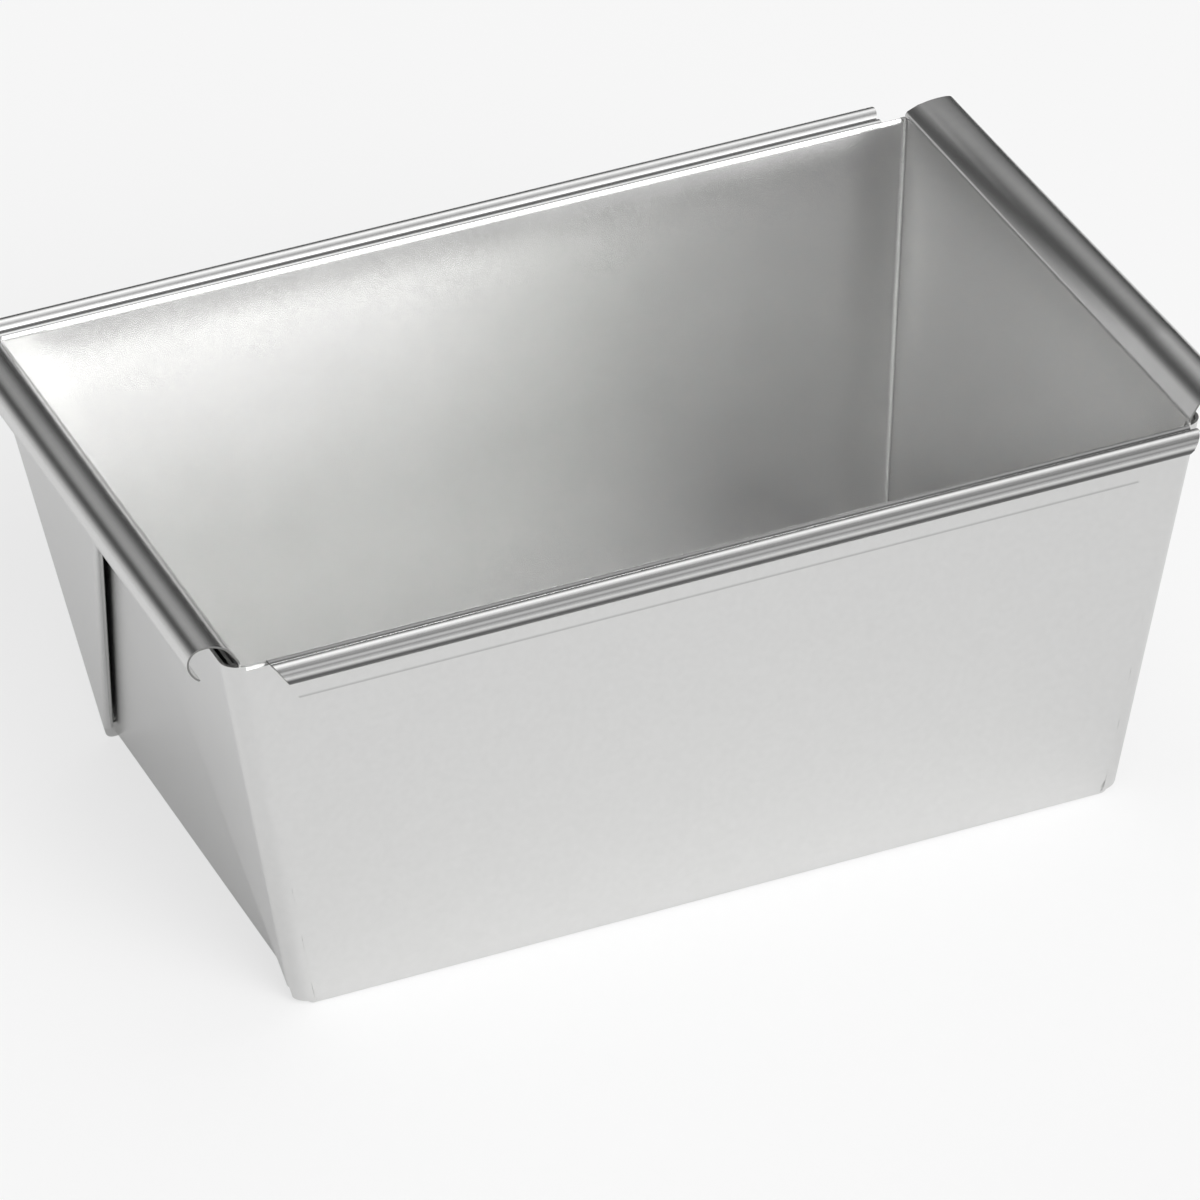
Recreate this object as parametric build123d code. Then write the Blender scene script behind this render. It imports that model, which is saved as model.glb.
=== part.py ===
from build123d import *
import math
import os

# A small folded loaf tin, made of one sheet of tinplate.
# The blank is a cross with its corners left on. The four walls are folded up from the
# bottom, and each spare corner is folded into a pleat that lies against the outside of a
# short end wall. The long rims are rolled into a hollow bead with a tail, and the short
# rims into a larger hollow roll that covers the tops of the pleats.
# Millimetres, +Z up, X along the length. The origin is on the table, under the middle.
# The nodes are the panels and folds of the sheet, which meet face to face at their bends.

# Driving dimensions of the tin, measured on the inside faces
sheet = 0.5
top_length = 150.0
top_width = 104.0
bottom_length = 129.0
bottom_width = 83.0
wall_height = 68.0

# Bends between the bottom and the walls
base_bend_radius = 1.2
tray_height = 3.0

# Corner pleats: the bend round the corner, and the air between the plies
corner_bend_radius = 3.0
ply_gap = 0.6
wall_gap = 0.35
fold_clearance = 0.1
pleat_clearance = 1.0

# Long rim: from the wall a lip, a groove, a hollow bead and a tail
lip_drop = 0.8
lip_lower_radius = 2.0
lip_upper_radius = 0.75
lip_flat = 0.28
lip_back_radius = 0.8
groove_radius = 0.3
bead_radius = 1.8
crease_radius = 0.5
tail_length = 5.6
tail_gap = 0.05

# Headings of the long rim's sheet, in degrees above the outward horizontal
lip_mid_heading = 60.0
lip_end_heading = 0.0
lip_cut_heading = 40.0
groove_heading_in = -40.0
groove_heading_out = 60.0
bead_end_heading = -195.0

# Raked ends of the long rim's bead
notch_setback = 3.8
notch_rake_out_share = 0.1
notch_rake_down_share = 0.6

# End roll: four bends, each with its radius and the heading where it ends
roll_rise = 0.3
roll_inner_radius = 5.6
roll_top_radius = 5.2
roll_outer_radius = 2.4
roll_tail_radius = 4.0
roll_inner_heading = 30.0
roll_top_heading = -10.0
roll_outer_heading = -100.0
roll_tail_heading = -145.0

# Values that follow from the sizes above, and the overrun of the cuts
end_flare = math.atan((top_length - bottom_length) / 2 / wall_height)
side_flare = math.atan((top_width - bottom_width) / 2 / wall_height)
end_corner_angle = math.atan(math.cos(end_flare) * math.tan(side_flare))
side_corner_angle = math.atan(math.cos(side_flare) * math.tan(end_flare))
pleat_angle = (math.pi / 2 - end_corner_angle - side_corner_angle) / 2
stack = 3 * sheet + ply_gap + wall_gap
reach = top_length + top_width
overrun = 3.0
tolerance = sheet / 1000


def half_length(height, offset):
    """Half the length between the end planes, moved outwards by offset."""
    return bottom_length / 2 + height * math.tan(end_flare) + offset / math.cos(end_flare)


def half_width(height, offset):
    """Half the width between the long planes, moved outwards by offset."""
    return bottom_width / 2 + height * math.tan(side_flare) + offset / math.cos(side_flare)


def block(x_range, y_range, z_range):
    """A plain block between three pairs of limits, used to divide solids."""
    sizes = [pair[1] - pair[0] for pair in (x_range, y_range, z_range)]
    middles = [(pair[1] + pair[0]) / 2 for pair in (x_range, y_range, z_range)]
    return Pos(*middles) * Box(*sizes)


def end_plane_at(side, offset):
    """The inner face of an end wall, moved outwards. X is along the wall, Y up, Z outwards."""
    return Plane(
        origin=(side * half_length(0, offset), 0, 0),
        x_dir=(0, side, 0),
        z_dir=(side * math.cos(end_flare), 0, -math.sin(end_flare)))


def side_plane_at(side, offset):
    """The inner face of a long wall, moved outwards. X is along the wall, Y up, Z outwards."""
    return Plane(
        origin=(0, side * half_width(0, offset), 0),
        x_dir=(-side, 0, 0),
        z_dir=(0, side * math.cos(side_flare), -math.sin(side_flare)))


def flared_block(end_offset, side_offset, low, high):
    """The solid inside the four flared planes, between two heights."""
    body = block((-reach, reach), (-reach, reach), (low, high))
    for side in (-1, 1):
        body = split(body, bisect_by=end_plane_at(side, end_offset), keep=Keep.BOTTOM)
        body = split(body, bisect_by=side_plane_at(side, side_offset), keep=Keep.BOTTOM)
    return body


def upright_edges(solid):
    """The slanting edges at the four corners of a flared block."""
    return [edge for edge in solid.edges()
            if abs((edge @ 0).Z - (edge @ 1).Z) > tolerance]


def strip_side(start, heading, steps, inset):
    """One side of a bent strip. A step is a length, or a radius and the heading where it ends."""
    angle = math.radians(heading)
    point = Vector(*start) + Vector(math.sin(angle), -math.cos(angle)) * inset
    edges = []
    for step in steps:
        direction = Vector(math.cos(math.radians(heading)), math.sin(math.radians(heading)))
        if isinstance(step, tuple):
            radius, new_heading = step
            turn = new_heading - heading
            bend = radius - inset if turn < 0 else radius + inset
            edge = JernArc(point, direction, bend, turn)
            heading = new_heading
        else:
            edge = Line(point, point + direction * step)
        edges.append(edge)
        point = edge @ 1
    return edges


def bent_strip(start, heading, steps):
    """The section of the sheet along a path of straight runs and tangent bends."""
    upper = strip_side(start, heading, steps, 0)
    lower = strip_side(start, heading, steps, sheet)
    caps = [Line(upper[0] @ 0, lower[0] @ 0), Line(upper[-1] @ 1, lower[-1] @ 1)]
    return make_face(Curve() + upper + lower + caps)


end_plane = end_plane_at(1, 0)
side_plane = side_plane_at(1, 0)


def prism(plane, points, inner, outer):
    """A polygon drawn on a wall's plane, carried from inner to outer along its normal."""
    face = make_face(Polyline(*points, close=True))
    return extrude(plane.offset(inner) * face, amount=outer - inner)


def return_fold_x(rise):
    """Where the end wall folds back on itself, beside the corner bend."""
    fold_radius = sheet + wall_gap / 2
    fold_depth = sheet + wall_gap / 2
    bend_inner = corner_bend_radius - sheet
    depth_between = fold_depth - (stack - corner_bend_radius)
    room = bend_inner - fold_radius - fold_clearance
    inset = bend_inner - math.sqrt(room ** 2 - depth_between ** 2)
    height = rise * math.cos(end_flare) - fold_depth * math.sin(end_flare)
    return half_width(height, 0) - inset / math.cos(end_corner_angle)


def free_fold_x(rise):
    """Where the pleat's free edge runs, half the spare angle from the corner."""
    return bottom_width / 2 + rise * math.tan(end_corner_angle - pleat_angle)


def fold_tube(line, side, depth, inner_radius):
    """A half round fold of the sheet along a line of the end plane, from rise to rise."""
    low_rise, high_rise = -overrun, wall_height + overrun
    low = end_plane.from_local_coords(Vector(line(low_rise), low_rise, depth))
    high = end_plane.from_local_coords(Vector(line(high_rise), high_rise, depth))
    outer_radius = inner_radius + sheet
    frame = Plane(origin=low, x_dir=end_plane.z_dir, z_dir=high - low)
    ring = Circle(outer_radius) - Circle(inner_radius)
    half = Pos(0, side * outer_radius) * Rectangle(4 * outer_radius, 2 * outer_radius)
    return extrude(frame * (ring & half), amount=(high - low).length)


def upper_band(solid):
    """The part of a solid between the base bends and the top of the walls."""
    band = block((-reach, reach), (-reach, reach), (tray_height, wall_height))
    return solid & band


# The shallow tray holds the base bends, and is divided among the nodes
def pressed_tray():
    outer = flared_block(sheet, sheet, 0, tray_height)
    foot = outer.edges().filter_by(Plane.XY).group_by(Axis.Z)[0]
    outer = fillet(upright_edges(outer) + list(foot), base_bend_radius)
    inner = flared_block(0, 0, sheet, tray_height)
    floor = inner.edges().filter_by(Plane.XY).group_by(Axis.Z)[0]
    inner = fillet(upright_edges(inner) + list(floor), base_bend_radius - sheet)
    return outer, outer - inner


tray_outside, tray = pressed_tray()
base_half_length = bottom_length / 2 - base_bend_radius
base_half_width = bottom_width / 2 - base_bend_radius
tray_zone = (-overrun, tray_height + overrun)


def base_panel():
    flat = block(
        (-base_half_length, base_half_length),
        (-base_half_width, base_half_width),
        tray_zone)
    return tray & flat


def seam_zone():
    """The stretch of a long wall between its two corner bends."""
    def seam(rise):
        height = rise * math.cos(side_flare) - sheet * math.sin(side_flare)
        corner = half_length(height, stack)
        return corner - corner_bend_radius / math.cos(side_corner_angle)
    low, high = -overrun, wall_height + overrun
    corners = [(-seam(low), low), (seam(low), low), (seam(high), high), (-seam(high), high)]
    return prism(side_plane, corners, -overrun, overrun)


seams = seam_zone()


def back_wall():
    top = wall_height - lip_drop
    slab = flared_block(reach, sheet, tray_height, top) - flared_block(reach, 0, tray_height, top)
    panel = slab & block((-reach, reach), (0, reach), (0, wall_height)) & seams
    bend = tray & block((-base_half_length, base_half_length), (base_half_width, reach), tray_zone)
    return panel + bend


def right_end_wall():
    slab = flared_block(sheet, reach, tray_height, wall_height)
    slab = slab - flared_block(0, reach, tray_height, wall_height)
    low, high = -overrun, wall_height + overrun
    corners = [
        (-return_fold_x(low), low), (return_fold_x(low), low),
        (return_fold_x(high), high), (-return_fold_x(high), high)]
    between_folds = prism(end_plane, corners, -overrun, overrun)
    panel = slab & block((0, reach), (-reach, reach), (0, reach)) & between_folds
    bend = tray & block((base_half_length, reach), (-base_half_width, base_half_width), tray_zone)
    return panel + bend


def pleat_zone(depth):
    """The side of the free fold that faces the corner, as deep as asked behind the wall."""
    low, high = -overrun, wall_height + overrun
    far = half_width(high, stack) + overrun
    corners = [(free_fold_x(low), low), (far, low), (far, high), (free_fold_x(high), high)]
    return prism(end_plane, corners, -depth, 2 * stack)


def corner_shell():
    """The outer ply, the bend round the corner and the joint to the long wall."""
    outer = flared_block(stack, sheet, tray_height, wall_height)
    outer = fillet(upright_edges(outer), corner_bend_radius)
    inner = flared_block(stack - sheet, 0, tray_height, wall_height)
    inner = fillet(upright_edges(inner), corner_bend_radius - sheet)
    quarter = block((0, reach), (0, reach), (0, wall_height))
    return (outer - inner) & quarter & pleat_zone(2 * corner_bend_radius) - seams


def pleat_toe():
    """The gathered metal that fills in under the pleat, round the corner of the bottom."""
    outer = flared_block(stack, sheet, sheet, tray_height)
    outer = fillet(upright_edges(outer), corner_bend_radius)
    foot = outer.edges().filter_by(Plane.XY).group_by(Axis.Z)[0]
    outer = fillet(foot, base_bend_radius)
    corner = block(
        (base_half_length + corner_bend_radius - stack, reach),
        (base_half_width, reach),
        tray_zone)
    return (outer & corner) - tray_outside


def inner_ply():
    """The ply that lies next to the end wall, between the return fold and the free fold."""
    low, high = -overrun, wall_height + overrun
    crossing = (return_fold_x(0) - free_fold_x(0)) / (
        math.tan(end_corner_angle - pleat_angle) - math.tan(end_corner_angle))
    corners = [
        (free_fold_x(crossing), crossing),
        (return_fold_x(high), high),
        (free_fold_x(high), high)]
    depth = sheet + wall_gap
    return prism(end_plane, corners, depth, depth + sheet)


def back_right_gusset():
    """One pleat, trimmed where it would meet the other pleat of its end."""
    return_fold = fold_tube(return_fold_x, 1, sheet + wall_gap / 2, wall_gap / 2)
    free_fold = fold_tube(free_fold_x, -1, 2 * sheet + wall_gap + ply_gap / 2, ply_gap / 2)
    corner = tray & block((base_half_length, reach), (base_half_width, reach), tray_zone)
    folds = upper_band(return_fold) + upper_band(free_fold) + upper_band(inner_ply())
    own_half = block((0, reach), (pleat_clearance / 2, reach), (-overrun, reach))
    return (corner_shell() + folds + corner + pleat_toe()) & own_half


def rim_steps(start, heading, lead_in):
    """The steps of the long rim's sheet, from the wall to the end of the tail."""
    steps = [
        lead_in,
        (lip_lower_radius, lip_mid_heading),
        (lip_upper_radius, lip_end_heading),
        lip_flat,
        (lip_back_radius, groove_heading_in),
        (groove_radius, groove_heading_out),
        (bead_radius, bead_end_heading)]
    tail_heading = heading - 180
    last_bend = (crease_radius, tail_heading)
    tail_start = strip_side(start, heading, steps + [last_bend], 0)[-1] @ 1
    outwards = Vector(math.cos(side_flare), -math.sin(side_flare))
    spare = (tail_start - Vector(*start)).dot(outwards) - 2 * sheet - tail_gap
    run = spare / math.cos(math.radians(bead_end_heading + 180) + side_flare)
    return steps + [run, last_bend, tail_length]


def back_rim(wall):
    heading = 90 - math.degrees(side_flare)
    lead = lip_drop
    height = wall_height - lip_drop - lead
    start = (half_width(height, 0), height)
    lead_in = lead / math.cos(side_flare)
    steps = rim_steps(start, heading, lead_in)
    lip_steps = [lead_in, (lip_lower_radius, lip_mid_heading), (lip_upper_radius, lip_cut_heading)]
    bead = extrude(Plane.YZ * bent_strip(start, heading, steps), reach, both=True)
    rake = Vector(1, notch_rake_out_share, -notch_rake_down_share)
    for side in (-1, 1):
        tip = (side * (top_length / 2 - notch_setback), top_width / 2, wall_height)
        cut = Plane(origin=tip, z_dir=(side * rake.X, rake.Y, rake.Z))
        bead = split(bead, bisect_by=cut, keep=Keep.BOTTOM)
    lip = extrude(Plane.YZ * bent_strip(start, heading, lip_steps), reach, both=True)
    return (bead + (lip & seams)) - wall


def right_end_roll(wall):
    heading = 90 - math.degrees(end_flare)
    lead = sheet
    height = wall_height - lead
    start = (half_length(height, 0), height)
    steps = [
        lead / math.cos(end_flare) + roll_rise,
        (roll_inner_radius, roll_inner_heading),
        (roll_top_radius, roll_top_heading),
        (roll_outer_radius, roll_outer_heading),
        (roll_tail_radius, roll_tail_heading)]
    section = Plane.XZ * bent_strip(start, heading, steps)
    roll = extrude(section, top_width / 2, both=True)
    below = block((0, reach), (-reach, reach), (0, wall_height))
    near_wall = block((0, half_length(wall_height, stack)), (-reach, reach), (0, wall_height))
    return roll - wall - (below & near_wall)


def write(name, shape):
    """Write one node, after a plain check that it is one sound solid."""
    solids = shape.solids()
    assert len(solids) == 1, name + " has " + str(len(solids)) + " solids"
    assert solids[0].is_valid, name + " is not valid"
    export_step(solids[0], os.path.join("parts", name + ".step"))
    print(name, round(solids[0].volume, 1), "mm3")


os.makedirs("parts", exist_ok=True)
wall = back_wall()
end_wall = right_end_wall()
rim = back_rim(wall)
roll = right_end_roll(end_wall)
gusset = back_right_gusset()
left_gusset = mirror(gusset, about=Plane.YZ)

nodes = {
    "base_panel": base_panel(),
    "back_wall": wall,
    "front_wall": mirror(wall, about=Plane.XZ),
    "right_end_wall": end_wall,
    "left_end_wall": mirror(end_wall, about=Plane.YZ),
    "back_right_gusset": gusset,
    "back_left_gusset": left_gusset,
    "front_right_gusset": mirror(gusset, about=Plane.XZ),
    "front_left_gusset": mirror(left_gusset, about=Plane.XZ),
    "back_rim": rim,
    "front_rim": mirror(rim, about=Plane.XZ),
    "right_end_roll": roll,
    "left_end_roll": mirror(roll, about=Plane.YZ)}

for name, shape in nodes.items():
    write(name, shape)
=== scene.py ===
# %% [markdown]
# # A folded tinplate loaf tin
# The tin is one sheet, folded up round its bottom, pleated at its corners and rolled over at its
# top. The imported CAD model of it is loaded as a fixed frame. Everything here is in metres, in its
# frame: X along the tin, Y from the front to the back, Z up from the table.

# %% Load the frame
import math
import bpy
import bmesh
from mathutils import Matrix, Vector


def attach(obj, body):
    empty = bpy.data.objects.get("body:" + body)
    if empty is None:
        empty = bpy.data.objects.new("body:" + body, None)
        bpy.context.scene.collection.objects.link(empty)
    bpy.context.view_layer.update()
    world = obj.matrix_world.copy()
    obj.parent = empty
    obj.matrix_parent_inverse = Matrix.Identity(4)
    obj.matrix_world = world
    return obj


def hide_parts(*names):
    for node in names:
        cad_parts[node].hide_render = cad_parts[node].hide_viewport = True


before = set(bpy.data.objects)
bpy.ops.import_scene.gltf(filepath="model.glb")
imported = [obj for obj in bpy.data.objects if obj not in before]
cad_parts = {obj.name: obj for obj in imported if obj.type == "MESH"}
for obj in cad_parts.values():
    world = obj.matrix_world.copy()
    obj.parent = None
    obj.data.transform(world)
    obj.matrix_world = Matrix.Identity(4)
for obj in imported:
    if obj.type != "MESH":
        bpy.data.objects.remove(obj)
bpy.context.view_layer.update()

bpy.context.scene.view_settings.view_transform = "Standard"

# %% [markdown]
# ## The camera
# The photograph was taken from the front left, about 32 degrees above the table, through a
# long lens, so parallel edges stay nearly parallel. The angles were fitted to the corners of
# the tin. A Track To constraint could aim a camera too, but would keep it level, and this one is
# rolled by 3 degrees. So its axes are built as columns of a matrix, and because a camera looks
# along its own -Z, the third column points backwards.

# %% Camera
PHOTO_SIZE = 1200
SENSOR_WIDTH = 36.0
azimuth, elevation, roll = math.radians(20.76), math.radians(31.72), math.radians(-3.08)
distance = 1.6287
focal_pixels = 10375
aim = Vector((0.01707, 0.0443, 0.0))

camera_back = Vector((
    -math.sin(azimuth) * math.cos(elevation),
    -math.cos(azimuth) * math.cos(elevation),
    math.sin(elevation)))
level_right = (-camera_back).cross(Vector((0, 0, 1))).normalized()
level_up = level_right.cross(-camera_back)
camera_right = math.cos(roll) * level_right + math.sin(roll) * level_up
camera_up = -math.sin(roll) * level_right + math.cos(roll) * level_up

camera_data = bpy.data.cameras.new("photo_camera")
camera_data.sensor_width = SENSOR_WIDTH
camera_data.lens = SENSOR_WIDTH * focal_pixels / PHOTO_SIZE
camera = bpy.data.objects.new("photo_camera", camera_data)
bpy.context.scene.collection.objects.link(camera)
camera_axes = Matrix((camera_right, camera_up, camera_back)).transposed().to_4x4()
camera.matrix_world = Matrix.Translation(aim + camera_back * distance) @ camera_axes
bpy.context.scene.camera = camera
print("lens", round(camera_data.lens, 1), "mm")

# %% [markdown]
# ## Arithmetic for materials
# A material is a tree of nodes, and every sum in it is a node too. They could be made and linked
# one by one, but a long sum is hard to read that way. This class wraps one output socket, so that
# a sum is written as Python and its Math nodes are made on the way. Every other kind of node
# comes from the one method `node`.

# %% A socket with operators
class Wire:
    def __init__(self, tree, socket=None):
        self.tree, self.socket = tree, socket

    def node(self, kind, settings=None, inputs=None, output=0):
        """Makes a node: its settings first, then the values or links of its sockets."""
        made = self.tree.nodes.new(kind)
        for name, value in (settings or {}).items():
            setattr(made, name, value)
        for key, value in (inputs or {}).items():
            if isinstance(value, Wire):
                self.tree.links.new(value.socket, made.inputs[key])
            else:
                made.inputs[key].default_value = value
        return Wire(self.tree, made.outputs[output] if len(made.outputs) else None)

    def maths(self, operation, *values):
        return self.node("ShaderNodeMath", {"operation": operation}, dict(enumerate(values)))

    def __add__(self, other):
        return self.maths("ADD", self, other)

    def __radd__(self, other):
        return self.maths("ADD", other, self)

    def __sub__(self, other):
        return self.maths("SUBTRACT", self, other)

    def __rsub__(self, other):
        return self.maths("SUBTRACT", other, self)

    def __mul__(self, other):
        return self.maths("MULTIPLY", self, other)

    def __rmul__(self, other):
        return self.maths("MULTIPLY", other, self)

    def ramp(self, low, high):
        """0 below low, 1 above high, and a soft ramp between them."""
        return self.node(
            "ShaderNodeMapRange", {"interpolation_type": "SMOOTHSTEP"},
            {"Value": self, "From Min": low, "From Max": high})


# %% [markdown]
# ## The floor
# The tin stands on white paper, and a plain plane is enough for that. More light would turn the
# paper white, but would bleach the tin as well. So plain white is mixed into what the camera and
# the mirrors see of it. The rest is the paper's own colour, which keeps the soft shadow.

# %% Floor
FLOOR_SIZE = 6.0
PAPER, WHITE = (0.78, 0.78, 0.78, 1), (1, 1, 1, 1)
CAMERA_WHITE, MIRROR_WHITE = 0.70, 0.30


def new_material(name):
    """A material with an empty tree, and a wire that makes nodes in it."""
    material = bpy.data.materials.new(name)
    material.use_nodes = True
    material.node_tree.nodes.clear()
    return material, Wire(material.node_tree)


def make_floor():
    bpy.ops.object.select_all(action="DESELECT")
    bpy.ops.mesh.primitive_plane_add(size=FLOOR_SIZE)
    floor = bpy.context.object
    floor.name = "studio_floor"
    material, wire = new_material("studio_paper")
    camera_ray, glossy_ray, clear_ray = (
        wire.node("ShaderNodeLightPath", output=f"Is {kind} Ray")
        for kind in ("Camera", "Glossy", "Transmission"))
    seen = camera_ray * CAMERA_WHITE + (glossy_ray + clear_ray) * MIRROR_WHITE
    paper = wire.node("ShaderNodeBsdfDiffuse", inputs={"Color": PAPER})
    white = wire.node("ShaderNodeEmission", inputs={"Color": WHITE, "Strength": 1.0})
    mixed = wire.node("ShaderNodeMixShader", inputs={0: seen, 1: paper, 2: white})
    wire.node("ShaderNodeOutputMaterial", inputs={"Surface": mixed})
    floor.data.materials.append(material)
    print(floor.name, FLOOR_SIZE, "m wide,", len(material.node_tree.nodes), "nodes")


make_floor()

# %% [markdown]
# ## The room
# Tin is a mirror, so its shades are the room's. Area lamps could light it, but their edges would
# show in the sheet. So the light is in the world: round glows without an edge on a dim grey. A
# strong one stands in front, to the right of the camera, and faint ones are round it, overhead
# and behind. Each has a compass direction, from the back of the tin towards its right end, a
# height above the table, both in degrees, and a brightness in its middle.

# %% World
SOFTBOX_FALLOFF = 20.0
SOFTBOXES = {
    "front": (173, 32, 11.3),
    "front_high": (180, 52, 0.9),
    "front_low": (150, 12, 1.0),
    "back_right": (30, 52, 1.2),
    "back_high": (0, 72, 1.1),
    "overhead": (0, 90, 1.0),
    "horizon": (325, 3, 0.7)}
ROOM_GREY = 0.03


def compass(turn, height):
    """The direction of a point of the sky."""
    turn, height = math.radians(turn), math.radians(height)
    return (math.sin(turn) * math.cos(height), math.cos(turn) * math.cos(height), math.sin(height))


def make_world():
    world = bpy.data.worlds.new("studio")
    bpy.context.scene.world = world
    world.use_nodes = True
    world.node_tree.nodes.clear()
    sky = Wire(world.node_tree)
    direction = sky.node("ShaderNodeTexCoord", output="Generated")
    strength = ROOM_GREY
    for turn, height, brightness in SOFTBOXES.values():
        nearness = sky.node(
            "ShaderNodeVectorMath", {"operation": "DOT_PRODUCT"},
            {0: direction, 1: compass(turn, height)}, output="Value")
        glow = sky.maths("EXPONENT", (nearness - 1.0) * SOFTBOX_FALLOFF)
        strength = strength + glow * brightness
    light = sky.node("ShaderNodeBackground", inputs={"Color": WHITE, "Strength": strength})
    sky.node("ShaderNodeOutputWorld", inputs={"Surface": light})
    print(world.name, len(SOFTBOXES), "softboxes,", len(world.node_tree.nodes), "nodes")


make_world()

# %% [markdown]
# ## Tinplate
# Tinplate is steel with a thin bright coat of tin. It is a metal with a soft, slightly cloudy
# shine: wide faint clouds, which are the sheet's own unevenness, bend its reflections and change
# how sharp they are, and a fine grain speckles it. A bump or roughness from the fine grain is left
# out, because its steep spots glitter.
#
# The photograph shows dark bands along the long beads. They are most likely the room, mirrored in a
# bead that is less round than this one. Here they are painted into the tin's colour as darker
# lines, together with a faint one along the tail: painted reflections and painted shade, each given
# by its place across the tin, height, width, depth and half length. That is a stand-in: it keeps
# its place on the bead, where a reflection would move.

# %% Tinplate
TIN_COLOUR = (0.72, 0.72, 0.715)
CLOUDS = {"Scale": 45.0, "Detail": 3.0}
GRAIN = {"Scale": 900.0, "Detail": 1.0}
TIN_ROUGHNESS, CLOUD_ROUGHNESS = 0.21, 0.08
TIN_SHADE, GRAIN_SHADE = 0.97, 0.06
CLOUD_BUMP = {"Strength": 0.15, "Distance": 0.0002}
# Painted reflections and painted shade: darker lines along the long rims, each by place across the
# tin, height, width, depth and half length.
PAINTED_RIM_REFLECTIONS_AND_SHADE = {
    "groove": (0.0537, 0.0684, 0.0010, 0.80, 0.0750),
    "bead": (0.0571, 0.0682, 0.0009, 0.90, 0.0750),
    "under_bead": (0.0572, 0.0664, 0.0010, 0.85, 0.0750),
    "tail": (0.0518, 0.0600, 0.0006, 0.25, 0.0665)}
PAINTED_LINE_CORE, PAINTED_LINE_END = 0.3, 0.0005


def noise(wire, pattern):
    place = wire.node("ShaderNodeTexCoord", output="Object")
    return wire.node("ShaderNodeTexNoise", inputs={"Vector": place, **pattern})


def shaded(wire, colour, shade):
    """A colour times a shade. Vector Math does it, because Math turns a colour grey."""
    return wire.node(
        "ShaderNodeVectorMath", {"operation": "SCALE"}, {0: colour, "Scale": shade})


def paint_rim_reflections_and_shade(wire, shade):
    """Darkens the shade along each line of painted reflection and painted shade on the long rims:
    fully in its core, and less towards its edge.
    """
    place = wire.node("ShaderNodeTexCoord", output="Object")
    along, side, height = (
        wire.node("ShaderNodeSeparateXYZ", inputs={0: place}, output=axis) for axis in "XYZ")
    along, side = wire.maths("ABSOLUTE", along), wire.maths("ABSOLUTE", side)
    # Each line of painted reflection and painted shade darkens the tin's colour.
    for line_side, line_height, width, depth, end in PAINTED_RIM_REFLECTIONS_AND_SHADE.values():
        square = (side - line_side) * (side - line_side)
        square = square + (height - line_height) * (height - line_height)
        far = wire.maths("SQRT", square).ramp(width * PAINTED_LINE_CORE, width)
        beside = along.ramp(end, end + PAINTED_LINE_END)
        shade = shade * (1 - (1 - far) * (1 - beside) * depth)
    return shade


def make_tinplate():
    material, wire = new_material("tinplate")
    clouds, grain = noise(wire, CLOUDS), noise(wire, GRAIN)
    # The grain's own tone, with painted reflections and painted shade along the long rims.
    shade = paint_rim_reflections_and_shade(wire, TIN_SHADE + grain * GRAIN_SHADE)
    metal = wire.node("ShaderNodeBsdfPrincipled", inputs={
        "Base Color": shaded(wire, TIN_COLOUR, shade),
        "Metallic": 1.0,
        "Roughness": TIN_ROUGHNESS + clouds * CLOUD_ROUGHNESS,
        "Normal": wire.node("ShaderNodeBump", inputs={"Height": clouds, **CLOUD_BUMP})})
    wire.node("ShaderNodeOutputMaterial", inputs={"Surface": metal})
    print(material.name, len(material.node_tree.nodes), "nodes")
    return material


tinplate = make_tinplate()

# %% [markdown]
# ### Sheared edges
# Where the sheet is cut, the tin coat ends and the bare steel shows, which is darker and rougher.
# A mask in the tinplate would have to find the edges by place. A second material is simpler,
# because Solidify can give it to the edge faces that it makes.

# %% Cut edge
EDGE_COLOUR = (0.24, 0.24, 0.235)
EDGE_GRAIN = {"Scale": 2500.0, "Detail": 2.0}
EDGE_SHADE, EDGE_GRAIN_SHADE = 0.8, 0.4
EDGE_ROUGHNESS, EDGE_GRAIN_ROUGHNESS = 0.38, 0.2


def make_cut_edge():
    material, wire = new_material("sheared_steel_edge")
    grain = noise(wire, EDGE_GRAIN)
    metal = wire.node("ShaderNodeBsdfPrincipled", inputs={
        "Base Color": shaded(wire, EDGE_COLOUR, EDGE_SHADE + grain * EDGE_GRAIN_SHADE),
        "Metallic": 1.0,
        "Roughness": EDGE_ROUGHNESS + grain * EDGE_GRAIN_ROUGHNESS})
    wire.node("ShaderNodeOutputMaterial", inputs={"Surface": metal})
    print(material.name, len(material.node_tree.nodes), "nodes")
    return material


cut_edge = make_cut_edge()

# %% [markdown]
# ## Sizes
# The whole tin is one sheet, so a few sizes give all its parts. They are the CAD model's own,
# apart from the rolled sheet, which is thinner here, as its cut edges look in the photograph.

# %% Sizes of the sheet and the walls, in metres
MM = 0.001
SHEET, ROLLED_SHEET = 0.5 * MM, 0.3 * MM
TOP_LENGTH, BOTTOM_LENGTH = 150 * MM, 129 * MM
TOP_WIDTH, BOTTOM_WIDTH = 104 * MM, 83 * MM
WALL_HEIGHT = 68 * MM
END_FLARE = math.atan((TOP_LENGTH - BOTTOM_LENGTH) / 2 / WALL_HEIGHT)
SIDE_FLARE = math.atan((TOP_WIDTH - BOTTOM_WIDTH) / 2 / WALL_HEIGHT)
PLEAT_STACK = 2.45 * MM
CORNER_BEND = 3.0 * MM
BASE_BEND = 1.2 * MM
LIP_DROP = 0.8 * MM
print("flare", round(math.degrees(END_FLARE), 2), "and", round(math.degrees(SIDE_FLARE), 2))

# %% [markdown]
# ## Bent sheet
# Walls, rims and rolls are all sheet that is bent along straight lines. A profile curve could be
# swept along the tin, but here each part is bent as in the workshop, run by run and bend by bend:
# a straight chain of edges is laid down, extruded for each flat run and spun for each bend. Every
# strip is bent at the back of the tin, with its path seen from the tin's right end, and is turned
# to its own side afterwards.

# %% A chain of edges
CHAIN_STEP = 1.5 * MM
GRID_SIZE = 1.0


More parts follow.
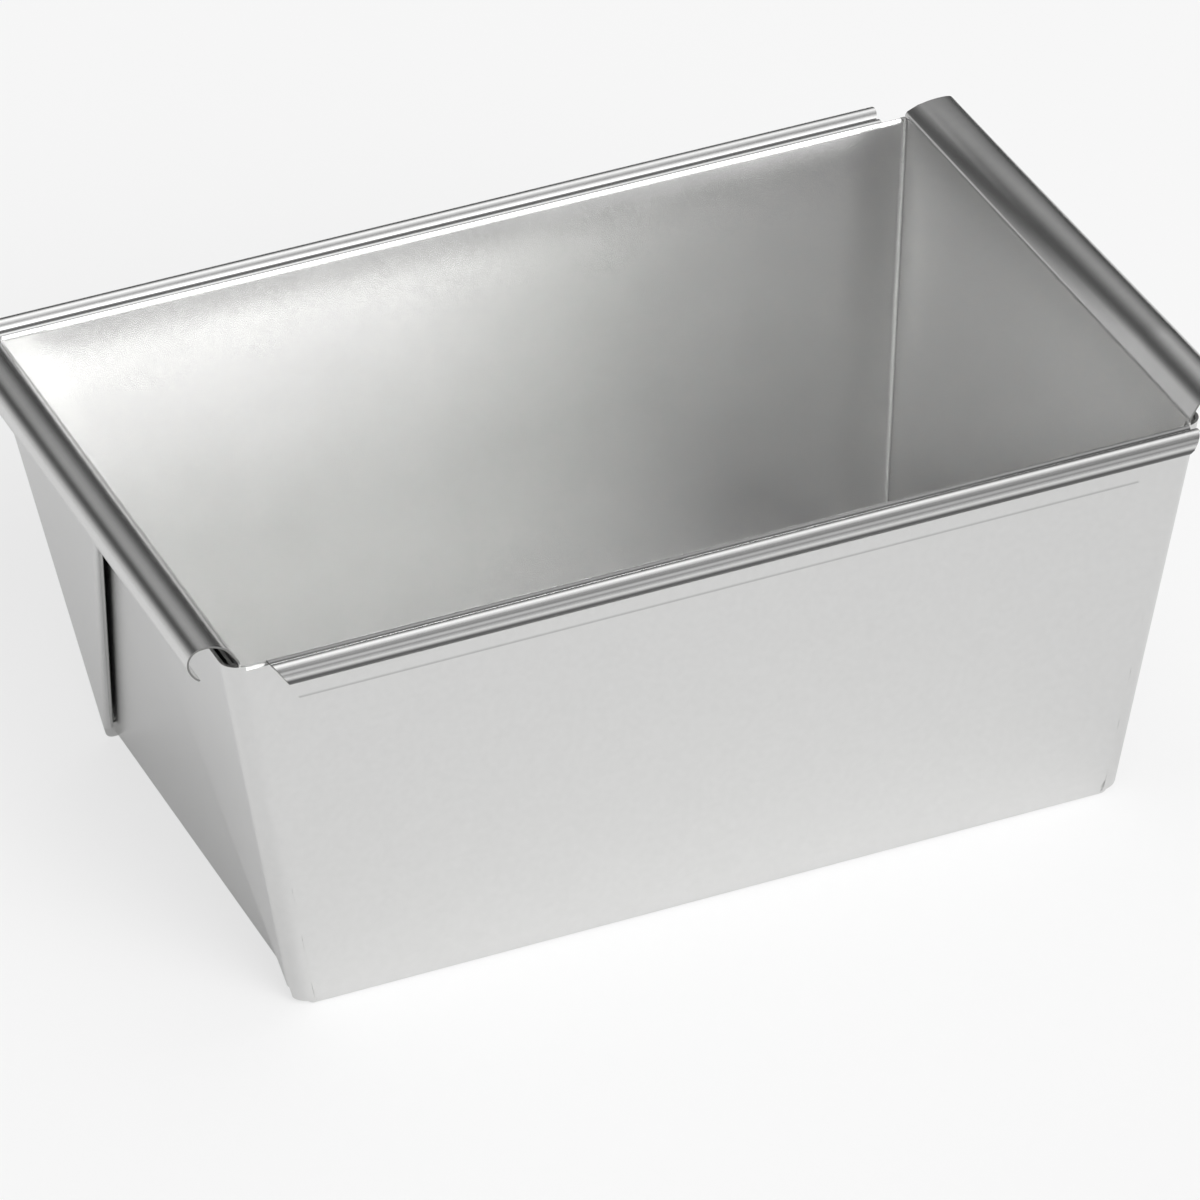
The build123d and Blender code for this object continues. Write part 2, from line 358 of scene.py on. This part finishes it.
def edge_chain(name, length, out, up):
    """A chain of edges along X: a flat grid of one row, with its far side deleted."""
    bpy.ops.object.select_all(action="DESELECT")
    count = round(length / CHAIN_STEP)
    bpy.ops.mesh.primitive_grid_add(x_subdivisions=count, y_subdivisions=1, size=GRID_SIZE)
    strip = bpy.context.object
    strip.name = name
    strip.data.materials.append(tinplate)
    strip.data.materials.append(cut_edge)
    bpy.ops.object.mode_set(mode="EDIT")
    bpy.ops.mesh.select_all(action="DESELECT")
    mesh = bmesh.from_edit_mesh(strip.data)
    for vertex in mesh.verts:
        vertex.select = vertex.co.y > 0
    mesh.select_flush(True)
    bmesh.update_edit_mesh(strip.data)
    bpy.ops.mesh.delete(type="VERT")
    bpy.ops.mesh.select_all(action="SELECT")
    bpy.ops.transform.resize(value=(length, 1, 1))
    bpy.ops.transform.translate(value=(0, out + GRID_SIZE / 2, up))
    return strip


# %% A strip bent along its length
BEND_STEP = math.radians(7)


def run_strip(point, heading, steps):
    """Extrudes the chain for a flat run and spins it for a bend. A bend is (radius, heading)."""
    for step in steps:
        if isinstance(step, tuple):
            radius, new_heading = step
            turn = new_heading - heading
            side = math.copysign(1, turn)
            angle = math.radians(heading)
            centre = point + Vector((0, -math.sin(angle), math.cos(angle))) * radius * side
            spins = max(2, math.ceil(abs(math.radians(turn)) / BEND_STEP))
            bpy.ops.mesh.spin(
                steps=spins, angle=-math.radians(turn), center=centre, axis=(1, 0, 0))
            angle = math.radians(new_heading)
            point = centre - Vector((0, -math.sin(angle), math.cos(angle))) * radius * side
            heading = new_heading
        else:
            angle = math.radians(heading)
            move = Vector((0, math.cos(angle), math.sin(angle))) * step
            bpy.ops.mesh.extrude_region_move(TRANSFORM_OT_translate={"value": move})
            point = point + move
    return point


def bent_strip(name, length, out, up, heading, steps):
    """A strip in edit mode. Its end is printed as worked out and as the mesh has it."""
    strip = edge_chain(name, length, out, up)
    end = run_strip(Vector((0, out, up)), heading, steps)
    mesh = bmesh.from_edit_mesh(strip.data)
    last = max(vertex.co.z for vertex in mesh.verts if vertex.select)
    print(name, "ends at", [round(value / MM, 2) for value in end], "mesh", round(last / MM, 2))
    return strip


# %% [markdown]
# ### Cut, thickness and shading
# A strip is cut while it is still a surface, which leaves clean edges. Solidify then gives it the
# sheet's thickness: inwards on a wall, whose path is its outer face, and outwards on a rim or
# roll, whose path is the inner face. Joined normals make the steps of a bend look round.

# %% Finish a strip
INWARDS, OUTWARDS = 1, -1
TIN_EDGE, BARE_EDGE = 0, 1
SOFT_BEND = math.radians(32)


def cut_end(point, normal):
    """Cuts the strip in edit mode and drops what is beyond the plane."""
    bpy.ops.mesh.select_all(action="SELECT")
    bpy.ops.mesh.bisect(plane_co=point, plane_no=normal, clear_outer=True)


def thicken(strip, side, thickness=SHEET, edge=TIN_EDGE):
    """Gives the surface the sheet's thickness on one side, and its cut faces their material."""
    bpy.ops.object.mode_set(mode="OBJECT")
    bpy.context.view_layer.objects.active = strip
    solidify = strip.modifiers.new("sheet", "SOLIDIFY")
    solidify.thickness = thickness
    solidify.material_offset_rim = edge
    solidify.offset = side
    solidify.use_even_offset = True
    bpy.ops.object.modifier_apply(modifier="sheet")


def smooth(piece):
    """Joined normals across soft bends, hard ones at the sheet's cut edges."""
    bpy.ops.object.select_all(action="DESELECT")
    piece.select_set(True)
    bpy.context.view_layer.objects.active = piece
    bpy.ops.object.shade_smooth_by_angle(angle=SOFT_BEND)


def dress(piece, *nodes):
    """A finished piece rides with the tin and stands for its CAD nodes."""
    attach(piece, "root")
    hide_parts(*nodes)
    print(piece.name, len(piece.data.polygons), "faces")


# %% [markdown]
# ## The walls and the bottom
# A wall is one strip: a short flat, the bend up from the bottom, and a flared run that is divided,
# so that it can be bowed. Thin sheet is never quite flat: below its rolled edge it is pulled in by
# a fraction of a millimetre and leans out to meet the roll, which catches the light. A lattice
# could bow it, but a formula keeps the seams where the pleats are.

# %% The bow of a wall
BOW_FADE = 9 * MM
BOW_POWER, BOW_PEAK = 14, 0.769


def soft_step(value):
    """0 below zero, 1 above one, and a soft step between."""
    value = min(max(value, 0.0), 1.0)
    return value * value * (3 - 2 * value)


def bow(piece, top, depth, seam, flare):
    """Leans the wall in by depth and back out just below its top edge, less at its seams."""
    for vertex in piece.data.vertices:
        share = min(max(vertex.co.z / top, 0.0), 1.0)
        edge = seam + vertex.co.z * math.tan(flare) - abs(vertex.co.x)
        pull = share * (1 - share ** BOW_POWER) / BOW_PEAK
        vertex.co.y -= depth * pull * soft_step(edge / BOW_FADE)


# %% One wall
WALL_RUNS = 34


def wall(name, half_bottom, flare, length, seam, seam_flare, top, depth):
    heading = 90 - math.degrees(flare)
    foot = half_bottom + SHEET / math.cos(flare)
    flat = foot - BASE_BEND * math.tan(math.radians(heading / 2)) - (half_bottom - BASE_BEND)
    bend_top = BASE_BEND * (1 - math.cos(math.radians(heading)))
    run = (top - bend_top) / math.cos(flare) / WALL_RUNS
    steps = [flat, (BASE_BEND, heading)] + [run] * WALL_RUNS
    panel = bent_strip(name, length, half_bottom - BASE_BEND, 0.0, 0.0, steps)
    for side in (-1, 1):
        cut_end((side * seam, 0, 0), (side, 0, -math.tan(seam_flare)))
    thicken(panel, INWARDS)
    bow(panel, top, depth, seam, seam_flare)
    smooth(panel)
    return panel


# %% [markdown]
# Opposite walls are alike, so one of each pair is made and copied. A mirrored copy is inside out,
# so its faces are turned.

# %% Four walls
LONG_BOW, END_BOW = 0.45 * MM, 0.30 * MM
RETURN_FOLD_INSET = 1.30 * MM
LONG_SEAM = BOTTOM_LENGTH / 2 + (PLEAT_STACK - CORNER_BEND) / math.cos(END_FLARE)
MIRROR_X, MIRROR_Y = Matrix.Scale(-1, 4, (1, 0, 0)), Matrix.Scale(-1, 4, (0, 1, 0))
TO_RIGHT_END = Matrix.Rotation(math.radians(-90), 4, "Z")


def place_copy(piece, name, matrix):
    """A copy of a finished piece with its own mesh, moved by the matrix. Mirrors are turned."""
    copy = bpy.data.objects.new(name, piece.data.copy())
    bpy.context.scene.collection.objects.link(copy)
    copy.data.transform(matrix)
    if matrix.determinant() < 0:
        copy.data.flip_normals()
    return copy


back_wall = wall(
    "back_wall_sheet", BOTTOM_WIDTH / 2, SIDE_FLARE, TOP_LENGTH, LONG_SEAM, END_FLARE,
    WALL_HEIGHT - LIP_DROP, LONG_BOW)
front_wall = place_copy(back_wall, "front_wall_sheet", MIRROR_Y)
right_wall = wall(
    "right_end_wall_sheet", BOTTOM_LENGTH / 2, END_FLARE, TOP_WIDTH,
    BOTTOM_WIDTH / 2 - RETURN_FOLD_INSET, SIDE_FLARE, WALL_HEIGHT, END_BOW)
right_wall.data.transform(TO_RIGHT_END)
left_wall = place_copy(right_wall, "left_end_wall_sheet", MIRROR_X)
dress(back_wall, "back_wall")
dress(front_wall, "front_wall")
dress(right_wall, "right_end_wall")
dress(left_wall, "left_end_wall")

# %% [markdown]
# The bottom is flat sheet, and its CAD node has the right shape already. It stays and only gets
# the tinplate.

# %% Bottom
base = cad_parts["base_panel"]
base.data.materials.clear()
base.data.materials.append(tinplate)
print("base_panel", [material.name for material in base.data.materials])

# %% [markdown]
# ## The long rims
# From the wall's top a small lip leans out, a groove follows, and then a hollow bead of 1.8 mm
# radius closes on a tail that lies flat on the outside of the wall. The bead stops short of the
# corners, with its ends cut on a slant, and only the lip runs on to the corner bends. At the
# front right and the back left the photograph shows the bead going on almost to the corner.
#
# Lip, groove, bead and tail are one strip. Its last flat run before the tail has to bring the
# tail to the wall, so its length is worked out from where the other steps would end.

# %% The path of a long rim
BOW_LEAN = 7.0
LIP_LEAD = 0.18 * MM
LIP_STEPS = ((2.0 * MM, 60.0), (0.75 * MM, 0.0))
GROOVE_STEPS = (0.28 * MM, (0.8 * MM, -40.0), (0.3 * MM, 60.0))
BEAD_STEP = (1.8 * MM, -195.0)
CREASE_RADIUS = 0.5 * MM
TAIL_LENGTH, TAIL_GAP = 5.6 * MM, 0.05 * MM
RIM_OUT, RIM_UP = TOP_WIDTH / 2 - LIP_DROP * math.tan(SIDE_FLARE), WALL_HEIGHT - LIP_DROP
WALL_HEADING = 90 - math.degrees(SIDE_FLARE)
RIM_HEADING = WALL_HEADING - BOW_LEAN


def strip_end(point, heading, steps):
    """Where a path of runs and bends ends, worked out beforehand."""
    for step in steps:
        radius, new_heading = step if isinstance(step, tuple) else (0, heading)
        side = math.copysign(1, new_heading - heading)
        first, last = math.radians(heading), math.radians(new_heading)
        if isinstance(step, tuple):
            point = point + radius * side * Vector((
                math.sin(last) - math.sin(first), math.cos(first) - math.cos(last)))
        else:
            point = point + step * Vector((math.cos(first), math.sin(first)))
        heading = new_heading
    return point


def rim_path():
    """The steps of the whole rim, with the run that lays its tail on the wall."""
    steps = [LIP_LEAD, *LIP_STEPS, *GROOVE_STEPS, BEAD_STEP]
    crease = (CREASE_RADIUS, WALL_HEADING - 180)
    start = Vector((RIM_OUT, RIM_UP))
    outwards = Vector((math.cos(SIDE_FLARE), -math.sin(SIDE_FLARE)))
    spare = (strip_end(start, RIM_HEADING, steps + [crease]) - start).dot(outwards)
    run = (spare - 2 * SHEET - TAIL_GAP) / math.cos(math.radians(BEAD_STEP[1] + 180) + SIDE_FLARE)
    print("run to the tail", round(run / MM, 3), "mm")
    return steps + [run, crease, TAIL_LENGTH]


# %% [markdown]
# ### The lip at the corners
# Beyond the bead the lip flattens into the plain wall, so that it meets the corner bend. It
# couldn't do that in the same strip without pulling the bead along, so its two ends are a strip
# of their own, which starts where the flattening does and is joined to the rim.

# %% Lip ends
LIP_CUT_STEPS = ((2.0 * MM, 60.0), (0.75 * MM, 40.0))
LIP_FADE_START, LIP_FADE = 3.2 * MM, 4.5 * MM


def drop_middle(half_length):
    """Drops the lip between two cuts, where the rim has the same lip, so that none is doubled."""
    for side in (-1, 1):
        bpy.ops.mesh.select_all(action="SELECT")
        bpy.ops.mesh.bisect(plane_co=(side * half_length, 0, 0), plane_no=(1, 0, 0))
    mesh = bmesh.from_edit_mesh(bpy.context.object.data)
    for face in mesh.faces:
        face.select = abs(face.calc_center_median().x) < half_length
    bmesh.update_edit_mesh(bpy.context.object.data)
    bpy.ops.mesh.delete(type="FACE")


def settle_lip(lip):
    """Near the corners the lip flattens into the plain wall, so that it meets the corner bend."""
    outwards = Vector((0, math.cos(SIDE_FLARE), -math.sin(SIDE_FLARE)))
    foot = Vector((0, TOP_WIDTH / 2, WALL_HEIGHT))
    for vertex in lip.data.vertices:
        share = soft_step((TOP_LENGTH / 2 - LIP_FADE_START - abs(vertex.co.x)) / LIP_FADE)
        lean = (vertex.co - foot).dot(outwards)
        lean = lean - min(max(lean, 0.0), SHEET)
        vertex.co -= outwards * lean * (1 - share)
        if vertex.co.z > WALL_HEIGHT:
            vertex.co.z = WALL_HEIGHT + (vertex.co.z - WALL_HEIGHT) * share


def lip_ends():
    lip = bent_strip("lip", TOP_LENGTH, RIM_OUT, RIM_UP, RIM_HEADING, [LIP_LEAD, *LIP_CUT_STEPS])
    for side in (-1, 1):
        cut_end((side * LONG_SEAM, 0, 0), (side, 0, -math.tan(END_FLARE)))
    drop_middle(TOP_LENGTH / 2 - LIP_FADE_START - LIP_FADE)
    thicken(lip, OUTWARDS, ROLLED_SHEET, BARE_EDGE)
    settle_lip(lip)
    return lip


# %% Long rims
RAKE_SETBACK, SHORT_SETBACK = 3.8 * MM, 0.3 * MM
RAKE_OUT, RAKE_DOWN = 0.1, 0.6


def long_rim(name, left_setback, right_setback):
    """The rim's strip, cut on a slant at each setback from the corner, and its lip's ends."""
    rim = bent_strip(name, TOP_LENGTH, RIM_OUT, RIM_UP, RIM_HEADING, rim_path())
    for side, setback in ((-1, left_setback), (1, right_setback)):
        tip = (side * (TOP_LENGTH / 2 - setback), TOP_WIDTH / 2, WALL_HEIGHT)
        cut_end(tip, (side, RAKE_OUT, -RAKE_DOWN))
    thicken(rim, OUTWARDS, ROLLED_SHEET, BARE_EDGE)
    lip = lip_ends()
    bpy.ops.object.select_all(action="DESELECT")
    lip.select_set(True)
    rim.select_set(True)
    bpy.context.view_layer.objects.active = rim
    bpy.ops.object.join()
    smooth(rim)
    return rim


back_rim = long_rim("back_rim_sheet", SHORT_SETBACK, RAKE_SETBACK)
front_rim = long_rim("front_rim_sheet", RAKE_SETBACK, SHORT_SETBACK)
front_rim.data.transform(MIRROR_Y)
front_rim.data.flip_normals()
dress(back_rim, "back_rim")
dress(front_rim, "front_rim")

# %% [markdown]
# ## The end rolls
# The short ends are rolled much wider: the sheet goes up, over the tops of the corner pleats,
# and curls down and back under. The roll is open below, and its ends are square to the sides.
# In the photograph the right one is pressed flatter towards the back corner. A roll is a bare
# surface at first, so that the left one can be a mirrored copy, and it gets the sheet's thickness
# after the pressing, so that the sheet isn't pressed thin.

# %% One end roll
ROLL_RISE = 0.3 * MM
ROLL_STEPS = (
    (2.0 * MM, 57.0), 1.8 * MM, (3.9 * MM, 30.0), (5.2 * MM, -10.0), (2.4 * MM, -100.0),
    (4.0 * MM, -145.0))


def end_roll():
    """The roll's surface, turned to the right end."""
    heading = 90 - math.degrees(END_FLARE)
    roll = bent_strip(
        "right_end_roll_bent", TOP_WIDTH, TOP_LENGTH / 2, WALL_HEIGHT, heading,
        [ROLL_RISE, *ROLL_STEPS])
    bpy.ops.object.mode_set(mode="OBJECT")
    roll.data.transform(TO_RIGHT_END)
    return roll


# %% Both end rolls
FLAT_FROM = -32 * MM
FLAT_ABOVE, FLAT_SHARE = 1.6 * MM, 0.8
PUSH, PUSH_RAMP, ROLL_REACH = 1.8 * MM, 2.2 * MM, 8.1 * MM


def flatten_roll(roll):
    """Presses the roll down and its top outwards, more and more towards the back corner."""
    for vertex in roll.data.vertices:
        share = min(max((vertex.co.y - FLAT_FROM) / (TOP_WIDTH / 2 - FLAT_FROM), 0.0), 1.0)
        rise = max(vertex.co.z - WALL_HEIGHT - FLAT_ABOVE, 0.0)
        vertex.co.z -= rise * FLAT_SHARE * share
        out = vertex.co.x - TOP_LENGTH / 2
        push = soft_step(out / PUSH_RAMP) * max(1 - out / ROLL_REACH, 0.0)
        vertex.co.x += PUSH * push * share


right_roll = end_roll()
left_roll = place_copy(right_roll, "left_end_roll_bent", MIRROR_X)
flatten_roll(right_roll)
for surface in (right_roll, left_roll):
    thicken(surface, OUTWARDS, ROLLED_SHEET, BARE_EDGE)
    smooth(surface)
dress(right_roll, "right_end_roll")
dress(left_roll, "left_end_roll")

# %% [markdown]
# ## Corner pleats
# A corner of the blank is folded into a pleat against the end wall. It could be bent here as the
# strips are, but the CAD nodes have every ply and fold already. Only their bends show as flat
# facets, so a copy of each mesh is merged and its soft bends get joined normals.

# %% Pleats
PLEATS = ("back_right_gusset", "back_left_gusset", "front_right_gusset", "front_left_gusset")
MERGE_DISTANCE = 0.002 * MM


def smooth_pleat(name):
    pleat = place_copy(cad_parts[name], name + "_folded", Matrix.Identity(4))
    pleat.data.materials.clear()
    pleat.data.materials.append(tinplate)
    bpy.ops.object.select_all(action="DESELECT")
    pleat.select_set(True)
    bpy.context.view_layer.objects.active = pleat
    bpy.ops.object.mode_set(mode="EDIT")
    bpy.ops.mesh.select_all(action="SELECT")
    bpy.ops.mesh.remove_doubles(threshold=MERGE_DISTANCE)
    bpy.ops.mesh.normals_make_consistent(inside=False)
    bpy.ops.object.mode_set(mode="OBJECT")
    bpy.ops.mesh.customdata_custom_splitnormals_clear()
    smooth(pleat)
    dress(pleat, name)


for name in PLEATS:
    smooth_pleat(name)
